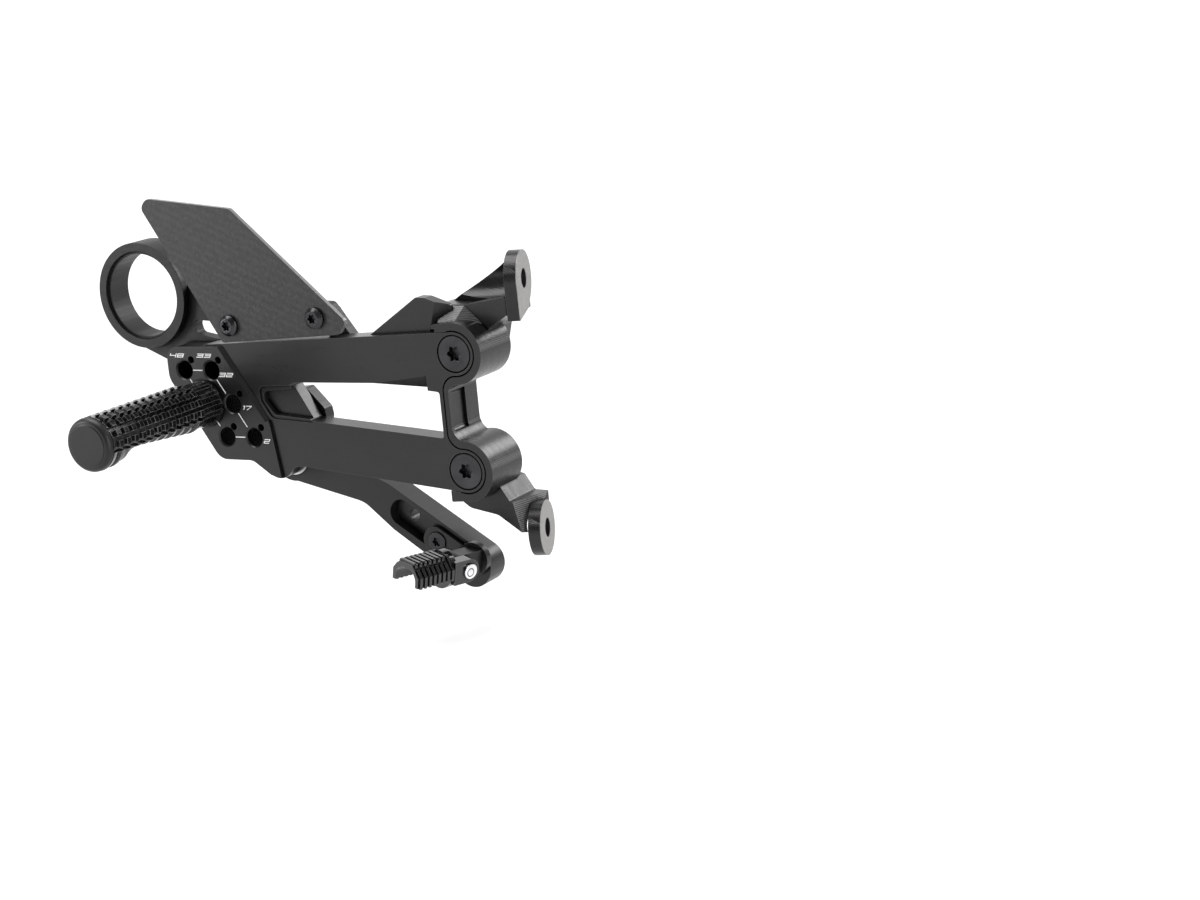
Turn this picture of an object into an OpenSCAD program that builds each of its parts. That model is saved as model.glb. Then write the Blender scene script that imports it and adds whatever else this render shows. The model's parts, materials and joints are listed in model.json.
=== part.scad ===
// Right-hand rear set of a sport motorcycle: footrest, brake pedal and heel guard
// on an adjustable plate, with the bracket that bolts it to the frame.
// X points to the front of the motorcycle, Y inboard and Z up.
// The origin is the upper frame bolt bore, in the plane of its bare pad.

/* [Footrest plate] */
// Distance between neighbouring footrest positions
hole_pitch = 15; // [13.5:0.5:16]
// Forward step of each lower row of positions
row_lean = 9.6; // [8.6:0.1:10.4]
// Thread diameter of a footrest position
peg_thread_d = 8; // [6:0.5:8.5]
// Diameter of a dowel hole beside each position
dowel_d = 3.4; // [2.5:0.1:3.8]
// Thickness of the footrest plate
plate_t = 11.5; // [9:0.5:12]

/* [Arm] */
// Depth of the step from the plate down to the arm
arm_step = 1.5; // [1:0.1:2]
// Diameter of the arm bolt heads
arm_bolt_head_d = 16; // [14:0.5:16.2]
// Thread diameter of the arm bolts
arm_bolt_d = 8; // [6:0.5:8.5]
// Distance between the two arm bolts
arm_bolt_gap = 50.7; // [49:0.1:53]

/* [Frame bracket] */
// Depth of the bracket's two bosses
bracket_depth = 24.5; // [20:0.5:28]
// Radius of the bracket round an arm bolt
bracket_r = 13.3; // [12.5:0.1:14]
// Distance between the two frame bolts
frame_bolt_gap = 108.3; // [106:0.1:110]
// Diameter of the frame bolt bores
frame_bore_d = 8.4; // [6.4:0.1:10]
// Diameter of the bare frame pads
pad_d = 24; // [20:0.5:25]
// Inboard turn of the frame pads
pad_turn = 15.5; // [10:0.5:20]

/* [Footrest] */
// Length of the footrest with its cap
peg_length = 80.5; // [60:0.5:100]
// Radius over the ribs
peg_r = 11.8; // [10.5:0.1:12.5]
// Number of rib rings
rib_count = 12; // [8:1:14]
// Radius of the cap
cap_r = 11.7; // [10:0.1:12.2]

/* [Heel guard] */
// Thickness of the heel guard
guard_t = 2.5; // [2:0.1:3]
// Diameter of the guard bolt heads
guard_head_d = 9.5; // [8:0.5:10]

/* [Silencer hanger] */
// Outer radius of the ring
ring_r = 24.1; // [22:0.1:26]
// Inner radius of the ring
ring_bore_r = 18.8; // [16:0.1:20]
// Depth of the ring
ring_depth = 14; // [11:0.5:16]
// Thickness of the hanger plate
hanger_t = 6; // [5:0.5:7]

/* [Brake pedal] */
// Thickness of the brake pedal
pedal_t = 12; // [10:0.5:13]
// Half width of the pedal lever
pedal_r = 9.2; // [8.5:0.1:10]
// Radius of the push rod eye
eye_r = 7; // [7:0.1:9]
// Bore of the push rod eye
eye_bore_d = 8; // [6:0.5:9]
// Diameter of the pivot bolt shank
pivot_d = 10; // [8:0.5:10.5]

/* [Toe piece] */
// Length of the toe piece from its pin
toe_length = 28; // [24:1:40]
// Outer radius of the toe piece
toe_r = 9; // [8:0.1:9.5]
// Turn of the toe piece towards the rear
toe_turn = 17; // [5:1:20]
// Roll of the toe piece to the front
toe_roll = 10; // [0:1:14]
// Diameter of the toe pin
toe_pin_d = 5; // [4:0.1:5.5]

/* [Hidden] */
$fn = 72;
arc_step = 10;
fit = 0.05;
reach = 1;

anodised = [0.13, 0.13, 0.14];
deep_black = [0.06, 0.06, 0.065];
steel = [0.45, 0.45, 0.47];
bare = [0.82, 0.82, 0.83];
weave = [0.2, 0.2, 0.21];
cap_grey = [0.3, 0.3, 0.31];
bronze = [0.62, 0.46, 0.28];

// Depths along Y, from the front face of the footrest plate
arm_front = arm_step;
arm_back = plate_t;
hanger_front = plate_t;
hanger_back = hanger_front + hanger_t;
washer_t = 0.5;
pedal_front = plate_t + washer_t + fit;
pedal_back = pedal_front + pedal_t;
bracket_back = arm_front + bracket_depth;
lug_back = bracket_back + 7;

// Places in the XZ plane, from the second footrest position
row_step = [row_lean, -hole_pitch];
positions = [
    [-hole_pitch, 0], [0, 0], row_step, 2 * row_step,
    2 * row_step - [hole_pitch, 0], row_step - [hole_pitch, 0]
];
peg_at = positions[5];
dowel_shift = [4.4, 4.7];
upper_bolt = [127.4, 9];
lower_bolt = upper_bolt - [0, arm_bolt_gap];
pivot = [30, -41];
ring_at = [-40.4, 32.2];
guard_bolts = [[12.4, 20.3], [59, 23.9]];
hanger_bolts = [[24, 4.6], [50, 5.8]];
eye = [40, -18];
pedal_end = [118.8, -87.2];
slider_bolt = [103.5, -76.2];
spare_hole = [88.5, -66.7];

// Frame pads: centre of each bare face
pad_x = 151;
pad_y = 24.7;
upper_pad_z = 37;
upper_pad = [pad_x, pad_y, upper_pad_z];
lower_pad = [pad_x, pad_y, upper_pad_z - frame_bolt_gap];
pad_t = 5.5;
bolt_head_room = 8.4;

head_r = arm_bolt_head_d / 2;
arm_bolt_r = arm_bolt_d / 2;
arm_boss_r = head_r + 1.3;
head_t = 4.6;
arm_gap = 0.25;

function unit(v) = v / norm(v);
function turned(v, a) = [v.x * cos(a) - v.y * sin(a), v.x * sin(a) + v.y * cos(a)];

// One corner of an outline: a plain point, or an arc where the corner has a radius
function corner(p, q, s) =
    let (at = [q.x, q.y], back = unit([p.x, p.y] - at), ahead = unit([s.x, s.y] - at),
         half = acos(back * ahead) / 2, r = len(q) > 2 ? q[2] : 0)
    r == 0 ? [at] :
    let (middle = at + unit(back + ahead) * r / sin(half),
         first = at + back * r / tan(half) - middle,
         way = cross(back, ahead) > 0 ? -1 : 1, turn = 180 - 2 * half,
         n = max(2, ceil(turn / arc_step)))
    [for (i = [0 : n]) middle + turned(first, way * turn * i / n)];

function rounded(points) =
    let (n = len(points))
    [for (i = [0 : n - 1])
        for (c = corner(points[(i + n - 1) % n], points[i], points[(i + 1) % n])) c];

// Puts what is drawn from the second footrest position into the part's own frame
module placed() translate(-upper_pad) children();

// A plate of a given outline in XZ, from depth y0 to depth y1
module slab(y0, y1)
    translate([0, y1, 0]) rotate([90, 0, 0]) linear_extrude(y1 - y0) children();

// A round bar or bore along Y
module rod(at, y0, y1, r)
    translate([at.x, y1, at.y]) rotate([90, 0, 0]) cylinder(h = y1 - y0, r = r);

// A cone along Y, with radius r0 at depth y0 and r1 at depth y1
module flare(at, y0, y1, r0, r1)
    translate([at.x, y1, at.y]) rotate([90, 0, 0]) cylinder(h = y1 - y0, r1 = r1, r2 = r0);

// Six-lobed recess of a bolt head, cut from depth y0 to y1
module lobes(at, y0, y1, r)
    translate([at.x, 0, at.y]) slab(y0, y1)
        polygon([for (i = [0 : 23]) r * (0.82 + 0.18 * cos(90 * i)) * [cos(15 * i), sin(15 * i)]]);

// Outline of the footrest plate without its pivot lobe
bevel_w = 1.7;
bevel_h = arm_step - 0.25;
bevel_head = [6.8, 10.9];
bevel_foot = [28.3, -22.6];
module plate_outline() polygon(rounded([
    [-24.1, 10.5, 7], [-24.1, -3.9, 8], [-0.8, -40.5, 7], [17, -40.5, 6],
    [26.2, -46.9], [31.6, -48], [bevel_foot.x, bevel_foot.y, 12], [bevel_head.x, bevel_head.y, 3]
]));

// Slanted cut along the plate's edge from p to q, almost down to the arm's face
module edge_bevel(p, q) translate([p.x, 0, p.y]) rotate([0, atan2(p.y - q.y, q.x - p.x), 0])
    translate([-2.2, 0, -bevel_w]) rotate([-atan2(bevel_h, bevel_w), 0, 0])
        translate([0, -4, -0.5]) cube([norm(q - p) + 1.4, 4, norm([bevel_h, bevel_w]) + 0.65]);

// Outline of the arm's front end, which the bracket wraps round
module arm_end(gap) {
    translate(upper_bolt) circle(arm_boss_r + gap);
    translate(lower_bolt) circle(arm_boss_r + gap);
    polygon(rounded([
        [112, 17.48 + gap], [upper_bolt.x, upper_bolt.y + arm_boss_r + gap],
        [upper_bolt.x, upper_bolt.y - arm_boss_r - gap],
        [119.9 + gap, upper_bolt.y - arm_boss_r - gap, 7],
        [119.9 + gap, lower_bolt.y + arm_boss_r + gap, 7],
        [lower_bolt.x, lower_bolt.y + arm_boss_r + gap],
        [lower_bolt.x, lower_bolt.y - arm_boss_r - gap], [112, -49.48 - gap]
    ]));
}

// Outline of the two bars behind the plate
module bars_outline() polygon(rounded([
    [-3, 11.4], [112, 17.48], [112, -49.48], [40, -42.4, 4], [33, -47], pivot, [20, -20]
]));

module window_outline() polygon(rounded([
    [39.5, -4.95, 1.5], [85, -4.3], [118.2, -7.6, 1.2], [118.2, -27.6, 1.2], [49.6, -21.95, 1.5]
]));

// Pocket between the plate and the window, with a ledge round it
module web_ledge_outline() polygon(rounded([
    [23.6, -7.1, 2.5], [42, -6.2], [51.5, -22.8, 0.8], [29.4, -21.5, 4], [24.2, -13.6, 3]
]));

module web_pocket_outline() polygon(rounded([
    [25.8, -9.3, 2], [42.5, -7.8], [50.5, -21.5], [30.4, -19.8, 3], [25.6, -13.2, 3]
]));

// Slanted cut along the upper bar's lower front edge, deeper towards the bolt
module under_bevel() translate([112.5, arm_front, -0.5]) rotate([0, 132.5, -82.7])
    translate([-6, -31, 0]) cube([17, 31, 7]);

// Gusset that rises from the upper bar, cut back towards the bracket; grown by gap for its seat
module gusset(gap) difference() {
    slab(arm_front + 4 - gap, arm_back) polygon(rounded([
        [79, 13], [108.5, 32.2 + gap, 2], [113, 32 + gap, 3], [123 + gap, 28.5 + gap, 2],
        [124 + gap, 17.5], [100, 12]
    ]));
    translate([113.2, arm_front, 32]) rotate([0, 10, -52]) translate([gap, -20, -30])
        cube([30, 40, 60]);
    rod(upper_bolt, 0, 20, bracket_r + 0.3 - gap);
    translate([117.2 + gap, 0, 0]) cube([20, 20, 22.6 - gap]);
}

module hanger_arm() color(anodised) placed() difference() {
    union() {
        slab(0, arm_back) plate_outline();
        rod(pivot, arm_front, arm_back, 7.6);
        slab(arm_front, arm_back) { bars_outline(); arm_end(0); }
        gusset(0);
    }
    slab(arm_front - reach, arm_back + reach) window_outline();
    slab(arm_front - reach, arm_front + 0.7) web_ledge_outline();
    slab(arm_front - reach, arm_front + 3.5) web_pocket_outline();
    edge_bevel(bevel_head, bevel_foot);
    under_bevel();
    for (at = positions) {
        rod(at, -reach, arm_back + reach, peg_thread_d / 2);
        flare(at, -0.01, 0.8, peg_thread_d / 2 + 0.8, peg_thread_d / 2);
        rod(at + dowel_shift, -reach, 6, dowel_d / 2);
    }
    for (at = [upper_bolt, lower_bolt]) {
        rod(at, arm_front - reach, arm_front + head_t, head_r + 0.25);
        rod(at, arm_front, arm_back + reach, arm_bolt_r + fit);
    }
    for (at = hanger_bolts) rod(at, arm_back - 8, arm_back + reach, 3 + fit);
    rod(pivot, 3, arm_back + reach, 4 + fit);
}

// Countersunk bolt that holds the arm in the bracket
module arm_bolt(at) color(deep_black) placed() difference() {
    union() {
        rod(at, arm_front + 0.1, arm_front + head_t, head_r);
        rod(at, arm_front + head_t - 0.01, arm_back + 11, arm_bolt_r);
    }
    lobes(at, arm_front - reach, arm_front + 3.2, 3.6);
}

module arm_bolt_upper() arm_bolt(upper_bolt);
module arm_bolt_lower() arm_bolt(lower_bolt);

// A bar along the normal of a frame pad, from the bare face inwards
module pad_bar(centre, length, r, start = 0)
    translate(centre) rotate([0, 0, pad_turn]) rotate([0, -90, 0])
        translate([0, 0, start]) cylinder(h = length, r = r);

// A plate in the plane of a frame pad, from points given inboard and up from its centre
module pad_plate(centre, points)
    translate(centre) rotate([0, 0, pad_turn]) rotate([0, -90, 0]) linear_extrude(pad_t)
        polygon([for (p = points) [p.y, p.x]]);

module upper_root_outline() polygon(rounded([
    [107, 2], [104, 17], [106, 25.4, 4], [117.5, 28, 4], [127.6, 27.6], [148, 31.1, 1], [148, 23.2, 1],
    [138.2, 17.4, 3], [134, 2]
]));

module upper_web_outline() polygon(rounded([
    [112, 20], [113.5, 25.6, 1], [145.4, 46.6, 1], [147.6, 46.6], [147.6, 24], [135, 22]
]));

module lower_lug_outline() polygon(rounded([
    [118, -46], [114.8, -55.5, 2.5], [121.5, -60.5, 6], [135, -63, 6], [147.9, -71.6], [148, -57.1],
    [141.5, -56.9, 1.5], [137, -50]
]));

// Column between the two bosses, with a pocket in its front side
column_x = 122.8;
column_back = 24;

module column_outline() polygon(rounded([
    [117.5, 8], [127.4, 9], [130, -2.5], [column_x, -6.2, 3], [column_x, -26.6, 7], [136, -33],
    [127, -50], [118.5, -40]
]));

// Lips that end the rings above and below the arm
module upper_lip_outline() polygon(rounded([[117.5, 12], [117.5, 21.4, 1.5], [127, 22.2], [127.4, 9]]));
module lower_lip_outline() polygon(rounded([[118.5, -44], [127, -40], [127, -54.8], [118.2, -55.4, 1.5]]));

// Ramp from the lip of the upper ring up to the root of the upper pad
module upper_ramp() difference() {
    hull() {
        slab(arm_front + 4, arm_front + 4.2) upper_lip_outline();
        slab(arm_back + 2, arm_back + 2.2)
            polygon([[113, 20], [113, 26.6], [117.5, 28], [127.6, 27.6], [136, 20]]);
    }
    gusset(0.3);
}

// Lower lug and its pad, with a slanted facet from the lug's top to the pad
module lower_lug() {
    difference() {
        slab(arm_back, lug_back) lower_lug_outline();
        translate([143.9, 16, -56.5]) rotate([0, 77.1, -15.6]) translate([-20, -30, 0])
            cube([50, 60, 20]);
    }
    pad_bar(lower_pad, pad_t, pad_d / 2);
}

module frame_bracket() color(anodised) placed() difference() {
    union() {
        rod(upper_bolt, arm_front, bracket_back, bracket_r);
        rod(lower_bolt, arm_front, bracket_back, bracket_r);
        slab(arm_front, column_back) column_outline();
        slab(arm_front, arm_front + 14.5) { upper_lip_outline(); lower_lip_outline(); }
        upper_ramp();
        slab(arm_back + 1.5, lug_back) upper_root_outline();
        slab(arm_back + 10.5, lug_back) upper_web_outline();
        pad_bar(upper_pad, pad_t, pad_d / 2);
        pad_plate(upper_pad, [[-11.9, 0.6], [-11.2, -16.2], [4.8, -13], [11.9, 0.6]]);
        lower_lug();
    }
    slab(arm_front - reach, arm_back) arm_end(arm_gap);
    slab(arm_front - reach, arm_back) translate([90, -60]) square([29, 79.5]);
    slab(arm_front + 2, arm_front + 12.8) polygon(rounded([
        [column_x - 1.3, -7.5, 2], [column_x + 3, -7.5], [column_x + 3, -25], [column_x - 1.3, -25, 2]
    ]));
    for (at = [upper_bolt, lower_bolt]) rod(at, arm_back - reach, lug_back + 5, arm_bolt_r + fit);
    for (centre = [upper_pad, lower_pad]) {
        pad_bar(centre, pad_t + 2 * reach, frame_bore_d / 2, -reach);
        pad_bar(centre, 30, bolt_head_room, pad_t);
    }
}

// Footrest body: ribbed rings, cut into teeth on the upper side, over a waisted underside
cap_t = 3.4;
cap_edge = 2.6;
rib_start = 15;
peg_end = peg_length - cap_t;
rib_pitch = (peg_end - rib_start - 2.2) / rib_count;
tooth_low_r = peg_r - 1.5;
root_r = 10.6;
underside = [
    [0, 10.4], [0.18, 9.2], [0.38, 7.8], [0.57, 6.6], [0.68, 6.2], [0.75, 6.8], [0.82, 9], [0.88, 10.6],
    [1.2, 10.6]
];
socket_depth = 9;
peg_bolt_head = 8;

// Radius of the underside at distance y from the plate
function under_r(y) = lookup(y / peg_end, underside);

module turned_bar(points)
    translate([peg_at.x, 0, peg_at.y]) rotate([90, 0, 0]) rotate_extrude() polygon(points);

module toothed_bar() turned_bar(concat(
    [[0, 0], [root_r, 0], [root_r, rib_start - 1.5], [tooth_low_r, rib_start - 0.5]],
    [for (i = [0 : rib_count - 1]) let (y = rib_start + i * rib_pitch)
        each [[tooth_low_r, y], [peg_r, y + 1], [peg_r, y + rib_pitch - 1.6],
              [tooth_low_r, y + rib_pitch - 1]]],
    [[peg_r, peg_end - 0.6], [peg_r, peg_end], [0, peg_end]]));

module under_bar() turned_bar(concat(
    [[0, 0], [under_r(0), 0]],
    [for (i = [0 : rib_count - 1]) let (y = rib_start + i * rib_pitch, r = under_r(y))
        each [[r, y], [r + 1, y + 0.5], [r + 1, y + 1.7], [under_r(y + 2.2), y + 2.2]]],
    [[peg_r, peg_end - 1], [peg_r, peg_end], [0, peg_end]]));

module peg_body() color(deep_black) placed() difference() {
    union() {
        difference() {
            toothed_bar();
            translate([peg_at.x - 20, -peg_end - reach, peg_at.y - 24]) cube([40, peg_end + 2, 20]);
            for (a = [-14 : 24 : 200])
                translate([peg_at.x, -peg_end - reach, peg_at.y]) rotate([0, -a, 0])
                    translate([tooth_low_r, 0, -0.9]) cube([5, peg_end - 1, 1.8]);
        }
        difference() {
            under_bar();
            translate([peg_at.x - 20, -peg_end - reach, peg_at.y - 3.5]) cube([40, peg_end + 2, 30]);
        }
    }
    rod(peg_at, -peg_end - reach, -peg_end + socket_depth, 7.2);
    rod(peg_at, -peg_end, reach, peg_thread_d / 2 + 0.25);
    rod(peg_at + dowel_shift, -6, reach, dowel_d / 2);
}

module peg_end_cap() color(cap_grey) placed() {
    turned_bar(concat([[0, peg_end], [cap_r, peg_end], [cap_r, peg_length - cap_edge]],
        [for (a = [15 : 15 : 75]) [cap_r - cap_edge * (1 - cos(a)), peg_length - cap_edge * (1 - sin(a))]],
        [[cap_r - cap_edge - 1, peg_length], [0, peg_length]]));
    rod(peg_at, -peg_end - 0.01, -peg_end + 0.9, 7.2 - fit);
}

module peg_bolt() color(steel) placed() difference() {
    union() {
        rod(peg_at, -peg_end + socket_depth - peg_bolt_head, -peg_end + socket_depth, 6.5);
        rod(peg_at, -peg_end + socket_depth - 0.01, plate_t - 1, peg_thread_d / 2 - fit);
    }
    slab(-peg_end, -peg_end + socket_depth - 4) translate(peg_at) circle(3.5, $fn = 6);
}

module peg_dowel() color(steel) placed() rod(peg_at + dowel_shift, -5.8, 5.8, dowel_d / 2 - fit);

// Heel guard: a flat plate in front of its two spacers
guard_front = 1;
guard_back = guard_front + guard_t;

module heel_guard() color(weave) placed() difference() {
    slab(guard_front, guard_back) polygon(rounded([
        [7.5, 12.4, 2], [70.5, 16.6, 3], [74.8, 22.3, 2.5], [19.6, 71.9, 3], [-26, 77, 4.5],
        [-28.9, 72.4, 3]
    ]));
    for (at = guard_bolts) rod(at, 0, guard_back + reach, 2.5 + fit);
}

module guard_bolt(at) color(steel) placed() difference() {
    union() {
        rod(at, guard_front - 1.2, guard_front, guard_head_d / 2);
        flare(at, guard_front - 2.6, guard_front - 1.2, guard_head_d / 2 - 1.6, guard_head_d / 2);
        rod(at, guard_front - 0.01, hanger_back, 2.5 - fit);
    }
    lobes(at, guard_front - 3, guard_front - 0.6, 2.3);
}

module guard_bolt_rear() guard_bolt(guard_bolts[0]);
module guard_bolt_front() guard_bolt(guard_bolts[1]);

module guard_spacer(at) color(anodised) placed() difference() {
    rod(at, guard_back, hanger_front, 4.6);
    rod(at, 0, 20, 2.5 + fit);
}

module guard_spacer_rear() guard_spacer(guard_bolts[0]);
module guard_spacer_front() guard_spacer(guard_bolts[1]);

// Silencer hanger: ring with a stepped bore and a slotted plate behind the arm
ring_front = hanger_front - (ring_depth - hanger_t) / 2;

module hanger_outline() polygon(rounded([
    [-47, 8], [-33, 2, 8], [-14, -3.4, 5], [56, -0.6, 3], [72, 10.6, 2], [59, 28.4, 3],
    [10, 29.4, 20], [-20, 37, 10], [-32, 44]
]));

module hanger_slot_outline() polygon(rounded([
    [-16.2, 20.6, 2.6], [-14.6, 14.2, 2.6], [8, 9.8, 2], [59, 12.4, 2], [56.4, 17.2, 2], [8, 14.4, 3],
    [0, 19.6, 3]
]));

module silencer_hanger() color(anodised) placed() difference() {
    union() {
        rod(ring_at, ring_front, ring_front + ring_depth, ring_r);
        slab(hanger_front, hanger_back) hanger_outline();
    }
    rod(ring_at, ring_front - reach, ring_front + ring_depth + reach, ring_bore_r);
    rod(ring_at, ring_front - reach, ring_front + 1.5, ring_bore_r + 1.4);
    slab(hanger_front - reach, hanger_back + reach) hanger_slot_outline();
    for (at = guard_bolts) rod(at, 0, 30, 2.5 + fit);
    for (at = hanger_bolts) rod(at, 0, 30, 3 + fit);
}

module hanger_bolt(at) color(steel) placed() difference() {
    union() {
        rod(at, arm_back - 7.5, hanger_back, 3);
        rod(at, hanger_back, hanger_back + 3.2, 5);
    }
    slab(hanger_back + 1.2, hanger_back + 3.3) translate(at) circle(2.2, $fn = 6);
}

module hanger_bolt_rear() hanger_bolt(hanger_bolts[0]);
module hanger_bolt_front() hanger_bolt(hanger_bolts[1]);

// Brake pedal: toe lever and push rod lever on one pivot
lever_way = unit(pedal_end - [62, -51.5]);
lever_side = [-lever_way.y, lever_way.x];
bush_r = 7;
eye_t = 6;
slot_r = 6;
slot_depth = 5;

// The two corners that round off the end of the lever
function end_corners(at, r) = [for (s = [1, -1])
    let (p = at + s * lever_side * r + lever_way * r) [p.x, p.y, r - 0.4]];

module lever_outline() polygon(rounded([
    pivot + [-2, 10.5], pedal_end + lever_side * pedal_r - lever_way * 52,
    each end_corners(pedal_end, pedal_r),
    [80, -72.4, 10], [66, -60.6, 12], pivot + [-3, -10.5]
]));

// Slanted head of the push rod lever
module eye_outline() polygon(rounded([
    for (p = [[-6.4, 7.6, 3], [1.6, 8.6, 2], [10.4, -0.6, 2.6], [11, -4.8, 2.6], [8.4, -12, 3],
              [-5.8, -11, 3]]) [eye.x + p.x, eye.y + p.y, p.z]
]));

module slot_outline() polygon(rounded([
    for (side = [[-27.5, slot_r], [23, slot_r], [23, -slot_r], [-27.5, -slot_r]])
        let (p = slider_bolt + lever_way * side.x + lever_side * side.y) [p.x, p.y, slot_r - 0.4]
]));

module brake_pedal() color(anodised) placed() difference() {
    union() {
        rod(pivot, pedal_front, pedal_back, 11.5);
        slab(pedal_front, pedal_back) lever_outline();
        rod(eye, pedal_front, pedal_front + eye_t, eye_r);
        slab(pedal_front, pedal_front + eye_t) {
            polygon([pivot + [-9.5, 5], pivot + [10, -2], eye + [6.4, -2.4], eye + [-6.6, 2.2]]);
            eye_outline();
        }
    }
    slab(pedal_front - reach, pedal_front + slot_depth) slot_outline();
    rod(pivot, pedal_front - reach, pedal_back + reach, bush_r);
    rod(eye, pedal_front - reach, pedal_back + reach, eye_bore_d / 2);
    for (at = [slider_bolt, spare_hole]) rod(at, pedal_front, pedal_back + reach, 2.5 + fit);
}

module pedal_bush() color(bronze) placed() difference() {
    rod(pivot, pedal_front, pedal_back, bush_r - fit);
    rod(pivot, 0, 40, pivot_d / 2 + fit);
}

module pedal_thrust_washer() color(steel) placed() difference() {
    rod(pivot, plate_t, plate_t + washer_t, 8.5);
    rod(pivot, 0, 40, pivot_d / 2 + fit);
}

module pedal_pivot_bolt() color(steel) placed() difference() {
    union() {
        rod(pivot, 3.5, plate_t + 0.1, 4);
        rod(pivot, plate_t, pedal_back + 0.3, pivot_d / 2);
        rod(pivot, pedal_back + 0.3, pedal_back + 5.3, 8.5);
    }
    slab(pedal_back + 2.3, pedal_back + 6) translate(pivot) circle(3.5, $fn = 6);
}

// Toe piece: slider in the pedal's slot, with a fork that carries the folding channel
toe_pin_at = [119.3, -1.5, -82.2];
fork_gap = 7.2;
tongue_r = fork_gap / 2 - 0.15;

module at_toe() translate(toe_pin_at) rotate([0, toe_roll, 0]) rotate([0, 0, -toe_turn]) children();

slider_front = pedal_front - 3.4;
key_r = slot_r - 0.15;
knuckle_r = 5.2;
tongue_foot = [121.6, -82.6];

module toe_slider() color(anodised) placed() difference() {
    union() {
        slab(slider_front + 1.4, pedal_front + slot_depth) polygon(rounded([
            for (side = [[-7, key_r], [16, key_r], [16, -key_r], [-7, -key_r]])
                let (p = slider_bolt + lever_way * side.x + lever_side * side.y) [p.x, p.y, key_r - 0.4]
        ]));
        slab(slider_front, pedal_front - 0.2) translate(tongue_foot) circle(7.4);
        at_toe() translate([-tongue_r, 0, -knuckle_r]) cube([2 * tongue_r, 12.4, 2 * knuckle_r]);
        at_toe() translate([-tongue_r, 0, 0]) rotate([0, 90, 0]) cylinder(h = 2 * tongue_r, r = knuckle_r);
    }
    rod(slider_bolt, 0, 40, 2.5 + fit);
    rod(slider_bolt, 0, pedal_front + 0.5, 4.6);
    at_toe() rotate([0, 90, 0]) cylinder(h = 40, r = toe_pin_d / 2 + fit, center = true);
}

module toe_slider_bolt() color(steel) placed() difference() {
    union() {
        rod(slider_bolt, pedal_front - 2.6, pedal_front + 0.5, 4.3);
        rod(slider_bolt, pedal_front + 0.4, pedal_back - 1, 2.5);
    }
    lobes(slider_bolt, pedal_front - 4, pedal_front - 1, 2.3);
}

// Folding channel with three ribbed faces, open below
toe_ribs = 8;
rib_gap = 2.5;
toe_wall = 2.6;
root_near = 6;
root_far = 9.4;

module toe_section(r) polygon(rounded([
    [-r, -r * 0.3], [-r, r * 0.24, 1], [-r * 0.5, r * 0.84, 1], [r * 0.5, r * 0.84, 1], [r, r * 0.24, 1],
    [r, -r * 0.3]
]));

module toe_peg() color(deep_black) placed() at_toe() difference() {
    union() {
        slab(-toe_length, -7) toe_section(toe_r - 0.9);
        for (i = [0 : toe_ribs - 1])
            slab(-toe_length + 0.8 + i * rib_gap, -toe_length + 2.1 + i * rib_gap) toe_section(toe_r);
        slab(-root_far, -root_near) circle(toe_r - 0.6);
        for (side = [-1, 1]) translate([side * (toe_r + fork_gap / 2) / 2, 0, 0]) {
            rotate([0, 90, 0]) cylinder(h = toe_r - fork_gap / 2, r = knuckle_r, center = true);
            translate([0, -4, 0]) cube([toe_r - fork_gap / 2, 8, 2 * knuckle_r], center = true);
        }
    }
    slab(-toe_length - reach, -root_far) polygon(rounded([
        [toe_wall - toe_r, -20], [toe_wall - toe_r, toe_r - 4.4, 5], [toe_r - toe_wall, toe_r - 4.4, 5],
        [toe_r - toe_wall, -20]
    ]));
    translate([-fork_gap / 2, -root_near, -20]) cube([fork_gap, 40, 40]);
    rotate([0, 90, 0]) cylinder(h = 60, r = toe_pin_d / 2 + fit, center = true);
    for (side = [-1, 1]) translate([side * toe_r * 0.66, -toe_length - reach, toe_r * 0.7])
        cube([1.6, 2 * (toe_length - 9), 2.2], center = true);
}

module toe_pin() color(bare) placed() at_toe() rotate([0, 90, 0]) {
    translate([0, 0, -toe_r + 0.4]) cylinder(h = 2 * toe_r - 0.35, r = toe_pin_d / 2);
    translate([0, 0, toe_r + 0.05]) cylinder(h = 1.1, r = 3.3);
}

frame_bracket();
hanger_arm();
arm_bolt_upper();
arm_bolt_lower();
peg_body();
peg_end_cap();
peg_bolt();
peg_dowel();
heel_guard();
guard_bolt_rear();
guard_bolt_front();
guard_spacer_rear();
guard_spacer_front();
silencer_hanger();
hanger_bolt_rear();
hanger_bolt_front();
brake_pedal();
pedal_bush();
pedal_thrust_washer();
pedal_pivot_bolt();
toe_slider();
toe_slider_bolt();
toe_peg();
toe_pin();
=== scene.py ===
# %% [markdown]
# # Right-hand rear set of a sport motorcycle
#
# A rear set carries the rider's foot: a ribbed footrest on an adjustable plate, a brake
# pedal with a folding toe piece, a heel guard, and the bracket that bolts it to the frame.
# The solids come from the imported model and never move. This script gives each of them
# its rounded edges, its finish and its markings, and puts them in a plain pale studio.

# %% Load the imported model
import json
import math

import bmesh
import bpy
import numpy as np
from mathutils import Matrix, Vector

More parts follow.
